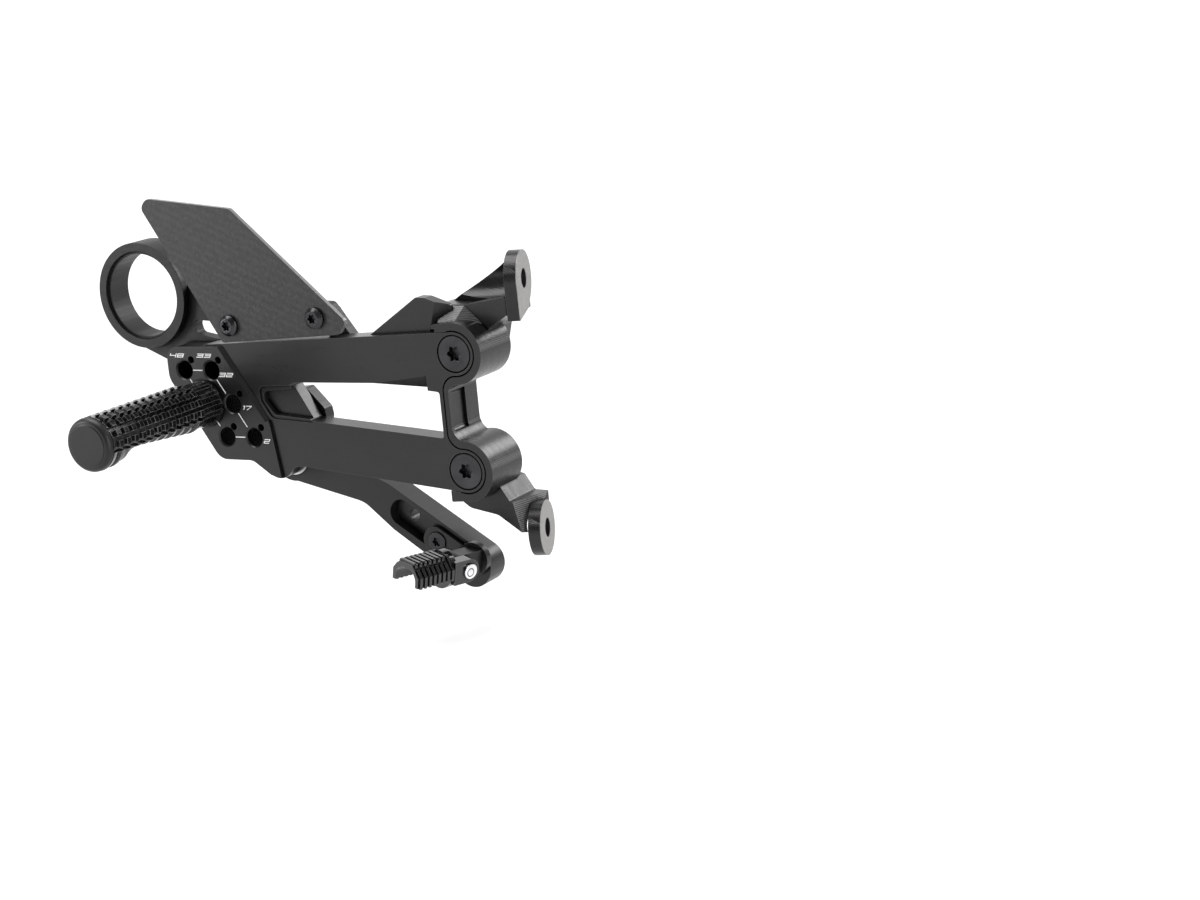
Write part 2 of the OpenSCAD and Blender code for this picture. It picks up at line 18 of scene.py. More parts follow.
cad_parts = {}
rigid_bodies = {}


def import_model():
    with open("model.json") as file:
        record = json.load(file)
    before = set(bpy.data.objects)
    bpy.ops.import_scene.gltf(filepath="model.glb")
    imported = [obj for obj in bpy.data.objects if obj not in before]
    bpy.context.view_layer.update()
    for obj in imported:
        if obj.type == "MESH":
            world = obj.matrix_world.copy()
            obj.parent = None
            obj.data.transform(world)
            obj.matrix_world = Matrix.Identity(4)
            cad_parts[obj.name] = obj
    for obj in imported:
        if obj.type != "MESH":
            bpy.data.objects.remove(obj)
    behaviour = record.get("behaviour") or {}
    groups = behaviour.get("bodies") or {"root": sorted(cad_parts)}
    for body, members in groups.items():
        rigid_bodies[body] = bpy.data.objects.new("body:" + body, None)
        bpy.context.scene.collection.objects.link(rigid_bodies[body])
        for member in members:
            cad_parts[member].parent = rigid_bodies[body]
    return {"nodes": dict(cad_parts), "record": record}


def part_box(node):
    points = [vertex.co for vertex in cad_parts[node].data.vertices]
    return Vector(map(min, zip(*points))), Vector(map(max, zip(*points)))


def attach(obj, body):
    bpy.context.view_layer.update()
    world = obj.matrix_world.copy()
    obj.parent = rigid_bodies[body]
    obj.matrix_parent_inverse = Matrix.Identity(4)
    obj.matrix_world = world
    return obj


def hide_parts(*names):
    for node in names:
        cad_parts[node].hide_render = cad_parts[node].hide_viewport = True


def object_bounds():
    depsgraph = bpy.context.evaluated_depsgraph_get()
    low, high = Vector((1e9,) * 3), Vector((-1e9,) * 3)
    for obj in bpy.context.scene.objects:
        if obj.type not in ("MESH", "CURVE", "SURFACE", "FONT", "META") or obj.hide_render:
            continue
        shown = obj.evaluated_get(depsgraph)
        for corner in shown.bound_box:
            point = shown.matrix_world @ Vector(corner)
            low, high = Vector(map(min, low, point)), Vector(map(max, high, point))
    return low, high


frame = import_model()
scene = bpy.context.scene
cad_box = [list(corner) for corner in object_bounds()]
print("CAD box in metres:", cad_box)

# %% [markdown]
# ## Where things are
#
# The drawing of the plate was made from its second footrest hole, and the origin of the
# part is the upper frame bolt. `MM` turns millimetres into metres, and `on_plate` turns a
# place on the plate's face, in millimetres from that second hole, into the part's frame.

# %% Units and the plate's own origin
MM = 0.001
PLATE_ORIGIN = np.array([-151.0, -24.7, -37.0]) * MM
HOLE_PITCH = 15.0
ROW_LEAN = 9.6
ROW_STEP = np.array([ROW_LEAN, -HOLE_PITCH])


def on_plate(x, z, y=0.0):
    """A point x mm forward, z mm up and y mm behind the plate's face, in metres."""
    return PLATE_ORIGIN + np.array([x, y, z]) * MM


BODY_OF = {n: body for body, names in frame["record"]["behaviour"]["bodies"].items() for n in names}
print("solids on each body:", {
    body: sum(at == body for at in BODY_OF.values()) for body in sorted(set(BODY_OF.values()))})

# %% [markdown]
# ## Camera
#
# The camera stands where the photographer's did: in front of the plate, a little to the
# right and above it, leaning five degrees. A long lens keeps the bars nearly parallel.

# %% Camera at the photograph's viewing angle
AZIMUTH, ELEVATION, LEAN = (math.radians(a) for a in (29.8, 13.05, -5.18))
LENS_MM = 72.06
CAMERA_PLACE = (0.5167, -0.8514, 0.1542)


def camera_axes(azimuth, elevation, lean):
    """Right, up and backward directions of a camera that looks at the object.

    Backward comes from the two angles on a sphere; right is level; then both right and
    up turn by the lean about backward.
    """
    back = np.array([math.sin(azimuth) * math.cos(elevation),
                     -math.cos(azimuth) * math.cos(elevation), math.sin(elevation)])
    level = np.array([math.cos(azimuth), math.sin(azimuth), 0.0])
    up = np.cross(back, level)
    c, s = math.cos(lean), math.sin(lean)
    return c * level + s * up, c * up - s * level, back


camera_data = bpy.data.cameras.new("photo_camera")
camera_data.lens = LENS_MM
camera_data.sensor_width = 36.0
camera_data.clip_start, camera_data.clip_end = 0.05, 20.0
camera = bpy.data.objects.new("photo_camera", camera_data)
turn = Matrix([list(row) for row in np.column_stack(camera_axes(AZIMUTH, ELEVATION, LEAN))])
camera.matrix_world = Matrix.Translation(CAMERA_PLACE) @ turn.to_4x4()
scene.collection.objects.link(camera)
scene.camera = camera
print("camera at", CAMERA_PLACE, "with a", LENS_MM, "mm lens")

# %% [markdown]
# ## A shorthand for shader nodes
#
# Every finish below is a small tree of nodes. `Tree` adds a node, sets or links its
# sockets in one call, and hands back the first output, so a finish reads like a formula.

# %% Node shorthand
def scaled(tone, factor):
    """A colour made darker or paler by a factor."""
    return [c * factor for c in tone]


def unit(direction):
    """A direction at length 1."""
    return tuple(np.array(direction, float) / np.linalg.norm(direction))


class Tree:
    """A material's node tree, with its Principled shader and Object coordinates ready."""

    def __init__(self, name):
        self.material = bpy.data.materials.new(name)
        self.material.use_nodes = True
        self.nodes = self.material.node_tree.nodes
        self.links = self.material.node_tree.links
        self.shader = self.nodes["Principled BSDF"]
        self.place = self.add("ShaderNodeTexCoord", output="Object")

    def plug(self, socket, value):
        """Links an output to the socket, or sets the socket to a number or colour."""
        if isinstance(value, bpy.types.NodeSocket):
            self.links.new(value, socket)
        elif hasattr(value, "__len__") and len(value) == 3 and socket.type == "RGBA":
            socket.default_value = (*value, 1.0)
        else:
            socket.default_value = value

    def add(self, kind, sockets=None, output=0, **settings):
        """A new node with its settings and sockets, as its chosen output."""
        node = self.nodes.new(kind)
        for key, value in settings.items():
            setattr(node, key, value)
        for key, value in (sockets or {}).items():
            self.plug(node.inputs[key], value)
        return node.outputs[output]

    def math(self, operation, a, b=0.0, c=0.0):
        """One arithmetic step on numbers."""
        return self.add("ShaderNodeMath", {0: a, 1: b, 2: c}, operation=operation)

    def mix(self, share, a, b):
        """Colour a, moved towards colour b by a share from 0 to 1."""
        return self.add("ShaderNodeMix", {0: share, 6: a, 7: b}, output=2, data_type="RGBA")

    def span(self, value, low, high, to_low=0.0, to_high=1.0):
        """Maps low..high to to_low..to_high, and holds what lies outside."""
        return self.add("ShaderNodeMapRange", {0: value, 1: low, 2: high, 3: to_low, 4: to_high})

    def along(self, direction, vector=None):
        """How far a vector, by default the place in metres, reaches in a direction."""
        return self.add("ShaderNodeVectorMath", {0: vector or self.place, 1: direction},
                        output="Value", operation="DOT_PRODUCT")

    def radius(self, centre, axis):
        """Distance from an axis of length 1 through centre: the length of out x axis."""
        out = self.add("ShaderNodeVectorMath", {0: self.place, 1: centre}, operation="SUBTRACT")
        side = self.add("ShaderNodeVectorMath", {0: out, 1: axis}, operation="CROSS_PRODUCT")
        return self.add("ShaderNodeVectorMath", {0: side}, output="Value", operation="LENGTH")

    def facing(self, direction, low, high):
        """0 to 1: how nearly the surface faces a direction, from cosine low to cosine high."""
        normal = self.add("ShaderNodeTexCoord", output="Normal")
        return self.span(self.along(unit(direction), normal), low, high)

    def saw(self, distance, pitch):
        """Rises from 0 to 1 over each pitch of a distance and then drops."""
        return self.math("FRACT", self.math("DIVIDE", distance, pitch))

    def noise(self, scale, stretch=(1.0, 1.0, 1.0), detail=3.0, place=None):
        """Cloudy noise from 0 to 1; stretch above 1 packs it closer along that axis."""
        at = self.add("ShaderNodeMapping", {"Vector": place or self.place, "Scale": stretch})
        return self.add("ShaderNodeTexNoise", {"Vector": at, "Scale": scale, "Detail": detail})

    def bump(self, height, distance, strength=1.0, normal=None):
        """A bumped normal for a height from 0 to 1 that stands for a distance in metres."""
        sockets = {"Height": height, "Distance": distance, "Strength": strength}
        if normal is not None:
            sockets["Normal"] = normal
        return self.add("ShaderNodeBump", sockets)

    def finish(self, sockets):
        """Fills the shader's sockets and returns the material."""
        for key, value in sockets.items():
            self.plug(self.shader.inputs[key], value)
        return self.material


# %% [markdown]
# ## Satin black anodised aluminium
#
# The big parts are milled from aluminium plate and then anodised black. Anodising grows a
# clear oxide film and fills it with dye, so almost no metal shows: the film reflects a
# little head-on and strongly at a grazing angle, which is why a bar's top strip looks
# nearly white. Fine cutter marks run along the part, the dye is slightly cloudy and the
# edges are painted paler, partly as rubbed wear and partly as a painted highlight. The
# paler edge compares the true normal with a rounded one.
# Narrow gaps and inner corners are painted dark, and made to reflect nothing: painted shade.

# %% Anodised finish
ACROSS, UPWARD = (0.0, 1.0, 0.0), (0.0, 0.0, 1.0)
METAL_SHARE = 0.25
FILM_IOR = 1.48
GRAIN_MM = 0.003
WEAR_AND_HIGHLIGHT_EDGE_MM = 0.55
CREVICE_MM = 1.2
CREVICE_SHARE = (0.5, 0.92)
PAINTED_SHADE_TONE = 0.1


def anodised_sockets(t, tone, roughness, marks=UPWARD, pitch=0.6, relief=0.004,
                     rub=0.063, uneven=0.055):
    """Shader sockets of black anodised, milled aluminium.

    marks is the direction across the cutter's tracks, pitch their spacing and relief
    their height in millimetres; the argument after relief is the grey that the edges reach,
    partly as rubbed wear and partly as a painted highlight, and uneven is how far the
    roughness strays in streaks along the tracks.
    """
    cloud = t.noise(45.0, detail=4.0)
    grain = t.noise(1800.0, detail=2.0)
    streak = t.noise(160.0, stretch=tuple(0.12 + 3.0 * abs(m) for m in marks), detail=3.0)
    wander = t.math("MULTIPLY", t.noise(25.0), 0.9)
    phase = t.math("MULTIPLY_ADD", t.along(marks), 2.0 * math.pi / (pitch * MM), wander)
    track = t.math("MULTIPLY_ADD", t.math("SINE", phase), 0.5, 0.5)
    normal = t.bump(track, relief * MM)
    normal = t.bump(grain, GRAIN_MM * MM, normal=normal)
    round_normal = t.add("ShaderNodeBevel", {"Radius": WEAR_AND_HIGHLIGHT_EDGE_MM * MM}, samples=6)
    true_normal = t.add("ShaderNodeNewGeometry", output="Normal")
    # Edges painted paler: partly rubbed wear, partly a painted highlight.
    edge = t.math("MULTIPLY", t.span(t.along(round_normal, true_normal), 0.985, 0.80),
                  t.span(cloud, 0.35, 0.65, 0.35, 1.0))
    base = t.mix(t.span(cloud, 0.3, 0.7), scaled(tone, 0.86), scaled(tone, 1.14))
    base = t.mix(t.math("MULTIPLY", streak, 0.25), base, scaled(tone, 1.7))
    base = t.mix(edge, base, (rub,) * 3)
    # In gaps and inner corners the colour is darkened and the metal made to reflect nothing:
    # painted shade.
    open_air = t.add("ShaderNodeAmbientOcclusion", {"Distance": CREVICE_MM * MM},
                     output="AO", samples=4)
    open_air = t.span(open_air, *CREVICE_SHARE)
    base = t.mix(open_air, scaled(tone, PAINTED_SHADE_TONE), base)
    gloss = t.math("ADD", t.span(streak, 0.3, 0.7, roughness - uneven, roughness + uneven),
                   t.span(grain, 0.3, 0.7, -0.03, 0.03))
    metal = t.span(open_air, 0.0, 1.0, 1.0, METAL_SHARE)
    return {"Base Color": base, "Metallic": metal, "Roughness": gloss, "Normal": normal,
            "IOR": FILM_IOR}


def anodised(name, tone, roughness, coat=0.0, **marks):
    """Black anodised aluminium as a whole material; coat is the weight of a glossy seal."""
    t = Tree(name)
    sockets = anodised_sockets(t, tone, roughness, **marks)
    return t.finish({**sockets, "Coat Weight": coat, "Coat Roughness": 0.1})


DYE = (0.009, 0.009, 0.009)
hanger_finish = anodised("anodised_hanger", scaled(DYE, 0.3), 0.50, marks=(0.3, 0.0, 1.0),
                         pitch=0.7)
pedal_finish = anodised("anodised_pedal", scaled(DYE, 0.8), 0.36, marks=(0.5, 0.0, 0.85),
                        pitch=0.8)
small_finish = anodised("anodised_small", scaled(DYE, 0.7), 0.34, pitch=0.5)
print("anodised finishes made")

# %% [markdown]
# ## The bracket: cutter terraces and bare pads
#
# The bracket is milled in three axes with a ball cutter, which leaves fine terraces where
# the ramp climbs to the upper pad and on the slanted facet of the lower lug. Each terrace
# is a bump, and is also painted paler in a saw pattern: a painted highlight. After
# anodising, its two pads are faced off where they meet the frame, so they are bare metal.
# Both pads lie in one plane through the part's origin, so a distance from it finds them.
# The arm sits in the bracket with a fine gap, whose edge is painted dark and made to
# reflect nothing, a painted shade: half a circle about each arm bolt, a bend under each
# and a straight run down the column.

# %% Bracket finish
PAD_TURN = math.radians(15.5)
PAD_INWARD = (-math.cos(PAD_TURN), -math.sin(PAD_TURN), 0.0)
RAMP_FACING = (0.15, -0.57, 0.80)
RAMP_BACK_MM = 14.0
BOLT_X_MM = 127.4
UPPER_BOLT, LOWER_BOLT = tuple(on_plate(BOLT_X_MM, 9.0)), tuple(on_plate(BOLT_X_MM, -41.7))
FACET_FACING = (0.939, -0.263, 0.223)
SEAM_R_MM, BEND_R_MM, SEAM_HALF_MM = 9.7, 6.75, 0.27
UPPER_BEND, LOWER_BEND = tuple(on_plate(127.05, -7.45)), tuple(on_plate(127.05, -25.25))
SEAM_X = float(on_plate(120.3, 0.0)[0])
TERRACE_MM = 0.8
TERRACE_HIGH_MM = 0.3
RAMP_HIGHLIGHT_GREY = 0.09
FACET_HIGHLIGHT_GREY = 0.30
BARE_SKIN_MM = 0.25


def painted_gap_shade(t):
    """1 on the front edge beside the arm's gap: circles and bends by distance, and a line."""
    x, z = t.along((1.0, 0.0, 0.0)), t.along(UPWARD)

    def circle(centre, radius_mm):
        return t.math("COMPARE", t.radius(centre, ACROSS), radius_mm * MM, SEAM_HALF_MM * MM)

    left = t.math("LESS_THAN", x, UPPER_BEND[0])
    above = t.math("GREATER_THAN", z, UPPER_BEND[2])
    below = t.math("LESS_THAN", z, LOWER_BEND[2])
    between = t.math("SUBTRACT", t.math("SUBTRACT", 1.0, above), below)
    seam = t.math("MULTIPLY", t.math("COMPARE", x, SEAM_X, SEAM_HALF_MM * MM), between)
    for bolt in (UPPER_BOLT, LOWER_BOLT):
        seam = t.math("MAXIMUM", seam, circle(bolt, SEAM_R_MM))
    for bend, side in ((UPPER_BEND, above), (LOWER_BEND, below)):
        corner = t.math("MULTIPLY", left, side)
        seam = t.math("MAXIMUM", seam, t.math("MULTIPLY", circle(bend, BEND_R_MM), corner))
    return t.math("MULTIPLY", seam, t.facing((0.0, -1.0, 0.0), 0.3, 0.5))


def milled_bracket(name, tone, bare):
    """Anodised bracket with terraces on two slopes and bare metal on the pads' plane.

    A terrace is a saw wave: it climbs over one pitch and then drops, with the distance
    from the upper bolt on the ramp and with the height on the facet. The wave bumps the
    surface and also paints it paler, a painted highlight; the gap beside the arm is painted
    dark, a painted shade.
    """
    t = Tree(name)
    sockets = anodised_sockets(t, tone, 0.31, marks=(0.0, 1.0, 0.25), pitch=0.9,
                               relief=0.010)
    face_y, back_y = on_plate(0.0, 0.0)[1], on_plate(0.0, 0.0, RAMP_BACK_MM)[1]
    at_front = t.math("COMPARE", t.along(ACROSS), (face_y + back_y) / 2,
                      (back_y - face_y) / 2)
    on_ramp = t.math("MULTIPLY", at_front, t.facing(RAMP_FACING, 0.80, 0.86))
    on_facet = t.facing(FACET_FACING, 0.95, 0.99)
    arcs = t.saw(t.radius(UPPER_BOLT, ACROSS), TERRACE_MM * MM)
    ramp = t.math("MULTIPLY", arcs, on_ramp)
    facet = t.math("MULTIPLY", t.saw(t.along(UPWARD), TERRACE_MM * MM), on_facet)
    terraces = t.math("ADD", ramp, facet)
    normal = t.bump(terraces, TERRACE_HIGH_MM * MM, normal=sockets["Normal"])
    # Terraces painted paler in a saw pattern: painted highlight.
    base = t.mix(ramp, sockets["Base Color"], (RAMP_HIGHLIGHT_GREY,) * 3)
    base = t.mix(facet, base, (FACET_HIGHLIGHT_GREY,) * 3)
    depth = t.math("ABSOLUTE", t.along(PAD_INWARD))
    bare_here = t.span(depth, BARE_SKIN_MM * MM, (BARE_SKIN_MM + 0.03) * MM, 1.0, 0.0)
    cut = t.noise(220.0, stretch=(1.0, 1.0, 8.0), detail=4.0)
    metal = t.mix(t.span(cut, 0.35, 0.65), scaled(bare, 0.8), scaled(bare, 1.2))
    cut_gloss = t.span(cut, 0.3, 0.7, 0.38, 0.55)
    gloss = t.add("ShaderNodeMix", {0: bare_here, 2: sockets["Roughness"], 3: cut_gloss})
    # The gap's edge beside the arm: painted dark and made to reflect nothing, painted shade.
    seam = painted_gap_shade(t)
    base = t.mix(seam, t.mix(bare_here, base, metal), scaled(tone, PAINTED_SHADE_TONE))
    dull = t.math("MAXIMUM", seam, sockets["Metallic"])
    return t.finish({**sockets, "Base Color": base, "Metallic": dull, "Roughness": gloss,
                     "Normal": normal})


bracket_finish = milled_bracket("anodised_bracket", DYE, (0.20, 0.197, 0.191))

# %% [markdown]
# ## The arm: threads in its footrest holes
#
# Each of the six footrest positions is a threaded hole. A thread swallows light, so the
# walls of these holes are painted nearly black, a painted shade, and carry turns 1.25 mm
# apart. They are given as metal of a very dark colour, so that they reflect nothing
# either: also painted shade.

# %% Arm finish
ROWS_AND_PLACES = ((0, 1), (0, 0), (1, 0), (2, 0), (2, 1), (1, 1))
HOLES = [(i * ROW_LEAN - j * HOLE_PITCH, -i * HOLE_PITCH) for i, j in ROWS_AND_PLACES]
THREAD_MM = 1.25
HOLE_R_MM = 4.1
THREAD_HIGH_MM = 0.5
THREAD_SHADE_SHARE = 0.15
THREAD_ROUGH = 0.95


def threaded_arm(name, tone):
    """Anodised arm with dark threads inside the footrest holes.

    A point is in a hole where its distance from that hole's axis is below the radius.
    There the colour is painted nearly black and the metal made to reflect nothing: a
    painted shade.
    """
    t = Tree(name)
    sockets = anodised_sockets(t, tone, 0.31, marks=(0.05, 0.0, 1.0), pitch=0.7,
                               relief=0.002, uneven=0.015)
    nearest = 1.0
    for hole in HOLES:
        nearest = t.math("MINIMUM", t.radius(tuple(on_plate(*hole)), ACROSS), nearest)
    inside = t.span(nearest, HOLE_R_MM * MM, (HOLE_R_MM + 0.1) * MM, 1.0, 0.0)
    half_turn = THREAD_MM / 2 * MM
    thread = t.math("MULTIPLY", t.math("PINGPONG", t.along(ACROSS), half_turn), inside)
    normal = t.bump(t.math("DIVIDE", thread, half_turn), THREAD_HIGH_MM * MM,
                    normal=sockets["Normal"])
    # Inside the holes: colour painted nearly black and metal made to reflect nothing, painted
    # shade.
    dark = t.mix(inside, sockets["Base Color"], scaled(tone, THREAD_SHADE_SHARE))
    metal = t.math("MAXIMUM", inside, sockets["Metallic"])
    gloss = t.math("MAXIMUM", t.math("MULTIPLY", inside, THREAD_ROUGH), sockets["Roughness"])
    return t.finish({**sockets, "Base Color": dark, "Metallic": metal, "Roughness": gloss,
                     "Normal": normal})


arm_finish = threaded_arm("anodised_arm", DYE)
print("bracket and arm finishes made")

# %% [markdown]
# ## Turned metal, and the footrest's deeper black
#
# A screw or a pin is turned on a lathe, whose tool leaves fine rings round the part's own
# axis. Rings need only the distance from that axis, so one function serves them all. The
# footrest and the toe piece are anodised to a deeper, glossier black, so their teeth flash.

# %% Turned finishes
GROOVE_HALF_MM = 0.22
GROOVE_DEEP_MM = 0.3
GROOVE_SHADE_TONE = 0.12


def turned(name, tone, roughness, centre, axis=ACROSS, groove_mm=None,
           ring_mm=0.22, relief=0.004, wear=0.35):
    """A part turned on a lathe about an axis through centre.

    The tracks are rings: a sine of the distance from that axis. A groove, where one is
    given, is a ring at that distance, sunk by a bump and painted dark as shade.
    """
    t = Tree(name)
    radius = t.radius(centre, axis)
    ring = t.math("SINE", t.math("MULTIPLY", radius, 2.0 * math.pi / (ring_mm * MM)))
    ring = t.math("MULTIPLY_ADD", ring, 0.5, 0.5)
    cloud = t.noise(120.0, detail=4.0)
    grain = t.noise(2500.0, detail=2.0)
    base = t.mix(t.span(cloud, 0.3, 0.7), scaled(tone, 0.8), scaled(tone, 1.25))
    worn = t.math("MULTIPLY", t.span(grain, 0.55, 0.75), wear)
    base = t.mix(worn, base, [min(1.0, c * 1.8) for c in tone])
    gloss = t.span(cloud, 0.3, 0.7, roughness - 0.06, roughness + 0.08)
    normal = t.bump(grain, 0.002 * MM, normal=t.bump(ring, relief * MM))
    if groove_mm:
        groove = t.math("COMPARE", radius, groove_mm * MM, GROOVE_HALF_MM * MM)
        # The groove painted dark: painted shade.
        base = t.mix(groove, base, scaled(tone, GROOVE_SHADE_TONE))
        normal = t.bump(groove, -GROOVE_DEEP_MM * MM, normal=normal)
    return t.finish({"Base Color": base, "Metallic": 1.0, "Roughness": gloss,
                     "Normal": normal})


def centre_of(node):
    """Middle of a solid's box, as the lathe axis of its finish."""
    low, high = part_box(node)
    return tuple((low + high) / 2)


DEEP = (0.005, 0.005, 0.005)
# The footrest's tooth edges are painted much paler: mostly a painted highlight, partly wear.
peg_finish = anodised("peg_black", DEEP, 0.24, coat=0.5, marks=ACROSS, pitch=0.4, rub=0.34)
toe_finish = anodised("toe_black", DEEP, 0.20, coat=0.6, marks=ACROSS, pitch=0.4, rub=0.08)
print("footrest and toe finishes made")

# %% [markdown]
# ## Matt plug
#
# A moulded plug closes the footrest's end. It is a matt dark grey with a fine pebbled
# skin, which only bump and a little colour variation can show at this size. A shallow
# step rings its middle, where the mould's insert met its outer part.

# %% Cap finish
STEP_SHARE = (0.74, 0.80)
STEP_MM = 0.35
PEBBLE_MM = 0.01
PLASTIC_IOR = 1.40


def moulded(name, tone, roughness, node):
    """Moulded plastic with a fine pebbled skin, faint clouds and a step round the middle.

    The step's height falls from 1 to 0 between two shares of the plug's radius.
    """
    t = Tree(name)
    low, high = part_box(node)
    rim = (high[0] - low[0]) / 2
    from_middle = t.radius(centre_of(node), ACROSS)
    step = t.span(from_middle, rim * STEP_SHARE[0], rim * STEP_SHARE[1], 1.0, 0.0)
    pebble = t.add("ShaderNodeTexVoronoi", {"Vector": t.place, "Scale": 3200.0})
    cloud = t.noise(90.0)
    base = t.mix(t.span(cloud, 0.3, 0.7), scaled(tone, 0.88), scaled(tone, 1.12))
    gloss = t.span(cloud, 0.3, 0.7, roughness - 0.05, roughness + 0.05)
    skin = t.bump(pebble, PEBBLE_MM * MM, strength=0.5)
    return t.finish({"Base Color": base, "Roughness": gloss, "IOR": PLASTIC_IOR,
                     "Normal": t.bump(step, STEP_MM * MM, normal=skin)})


cap_finish = moulded("cap_grey", (0.006, 0.006, 0.006), 0.42, "peg_end_cap")
print("cap finish made")

# %% [markdown]
# ## Carbon weave
#
# The heel guard is a flat carbon laminate under a satin lacquer. Its twill repeats over
# four yarns: at each crossing the warp or the weft lies on top, one step further along
# on each row, which makes the diagonal lines. Each yarn's fibres catch the light along
# their length only, so warp and weft are painted in different greys, a painted sheen, and
# the crown of each yarn is painted a little paler, a painted highlight. No two crossings
# are quite alike, so each gets a paleness of its own from a random number for its column
# and row.

# %% Twill finish
YARN_MM = 1.2
YARN_HIGH_MM = 0.03
WEFT_GREYS, WARP_GREYS, CUT_GREY = (0.003, 0.018), (0.006, 0.024), 0.13
LACQUER_IOR = 1.46


def twill(name, yarn_mm, turn_degrees):
    """A 2-by-2 twill: the warp is on top where (column + row) modulo 4 is below 2.

    The sheet's cut edge shows bare, polished laminate, so it is paler and shinier.
    """
    t = Tree(name)
    at = t.add("ShaderNodeMapping", {
        "Vector": t.place, "Rotation": (0.0, math.radians(turn_degrees), 0.0),
        "Scale": (1.0 / (yarn_mm * MM),) * 3})
    split = t.nodes.new("ShaderNodeSeparateXYZ")
    t.plug(split.inputs[0], at)
    u, v = split.outputs[0], split.outputs[2]
    column, row = t.math("FLOOR", u), t.math("FLOOR", v)
    step = t.math("FLOORED_MODULO", t.math("ADD", column, row), 4.0)
    warp_on_top = t.math("LESS_THAN", step, 2.0)
    across_u = t.math("SUBTRACT", t.math("FRACT", u), 0.5)
    across_v = t.math("SUBTRACT", t.math("FRACT", v), 0.5)
    across = t.add("ShaderNodeMix", {0: warp_on_top, 2: across_v, 3: across_u})
    crown = t.math("SUBTRACT", 1.0, t.math("MULTIPLY", t.math("MULTIPLY", across, across), 4.0))
    along_yarn = t.math("MULTIPLY", t.add("ShaderNodeMix", {0: warp_on_top, 2: u, 3: v}), 0.02)
    on_yarn = t.add("ShaderNodeCombineXYZ", {0: across, 1: along_yarn})
    fibre = t.noise(1.0, stretch=(24.0, 24.0, 24.0), place=on_yarn)
    crossing = t.add("ShaderNodeCombineXYZ", {0: column, 1: row})
    chance = t.add("ShaderNodeTexWhiteNoise", {"Vector": crossing}, output="Value")
    # Crown paleness is a painted highlight; the warp and weft greys below are a painted sheen.
    pale = t.math("MULTIPLY_ADD", crown, 0.2, t.math("MULTIPLY", fibre, 0.2))
    pale = t.math("MULTIPLY_ADD", chance, 0.6, pale)
    weft, warp = (t.mix(pale, (low,) * 3, (high,) * 3) for low, high in (WEFT_GREYS, WARP_GREYS))
    base = t.mix(warp_on_top, weft, warp)
    true_normal = t.add("ShaderNodeTexCoord", output="Normal")
    flatness = t.math("ABSOLUTE", t.along(ACROSS, true_normal))
    cut = t.span(flatness, 0.35, 0.85, 1.0, 0.0)
    return t.finish({"Base Color": t.mix(cut, base, (CUT_GREY,) * 3),
                     "Normal": t.bump(crown, YARN_HIGH_MM * MM, strength=0.25),
                     "Roughness": t.span(cut, 0.0, 1.0, 0.52, 0.3), "IOR": LACQUER_IOR})


weave_finish = twill("carbon_weave", YARN_MM, 22.0)
print("weave with yarns of", YARN_MM, "mm")

# %% [markdown]
# ## Screws, pins and bush
#
# The visible screws are blackened steel, the hidden ones are zinc-plated, and the pedal
# turns on a bronze bush. The toe's pin is bright and has a ring turned in its end, painted
# dark as shade, as an arm bolt has a rim painted dark as shade where its head is sunk in
# the arm. A table of tone and roughness gives each its finish, and the lathe axis is the
# middle of the solid's own box.

# %% Steel, bronze and bare metal finishes
DARK_STEEL, STEEL = (0.045, 0.045, 0.047), (0.42, 0.42, 0.43)
BRIGHT, BRONZE = (0.80, 0.80, 0.81), (0.50, 0.34, 0.16)
TURNED_LOOK = {
    "arm_bolt_upper": ("black_steel", DARK_STEEL, 0.34),
    "arm_bolt_lower": ("black_steel", DARK_STEEL, 0.34),
    "guard_bolt_rear": ("dark_steel", DARK_STEEL, 0.26),
    "guard_bolt_front": ("dark_steel", DARK_STEEL, 0.26),
    "hanger_bolt_rear": ("dark_steel", DARK_STEEL, 0.3),
    "hanger_bolt_front": ("dark_steel", DARK_STEEL, 0.3),
    "toe_slider_bolt": ("dark_steel", DARK_STEEL, 0.28),
    "peg_bolt": ("steel", STEEL, 0.3), "peg_dowel": ("steel", STEEL, 0.25),
    "pedal_thrust_washer": ("steel", STEEL, 0.3), "pedal_pivot_bolt": ("steel", STEEL, 0.3),
    "pedal_bush": ("bronze", BRONZE, 0.35),
}
JOINTS = frame["record"]["behaviour"]["joints"]
FOLD_AXIS = next(tuple(joint["axis"]) for joint in JOINTS if joint["name"] == "toe_fold")
RIM_MM = {"arm_bolt_upper": 7.75, "arm_bolt_lower": 7.75}
PIN_RING_MM = 1.7
finish_of = {
    node: turned(f"{slot}_{node}", tone, rough, centre_of(node), groove_mm=RIM_MM.get(node))
    for node, (slot, tone, rough) in TURNED_LOOK.items()}
finish_of["toe_pin"] = turned("bright_steel_pin", BRIGHT, 0.16, centre_of("toe_pin"),
                              axis=FOLD_AXIS, groove_mm=PIN_RING_MM)
finish_of.update(
    frame_bracket=bracket_finish, hanger_arm=arm_finish, silencer_hanger=hanger_finish,
    brake_pedal=pedal_finish, toe_slider=small_finish, guard_spacer_rear=small_finish,
    guard_spacer_front=small_finish, peg_body=peg_finish, toe_peg=toe_finish,
    peg_end_cap=cap_finish, heel_guard=weave_finish)
print("finishes for", len(finish_of), "solids")

# %% [markdown]
# ## Rounded edges
#
# A cutter and a deburring wheel leave no edge sharp. Each solid is copied, its loose
# triangles are welded, flat neighbours become whole faces, and a Bevel modifier rounds
# every edge that turns by more than the set angle. The copy then stands for its solid.

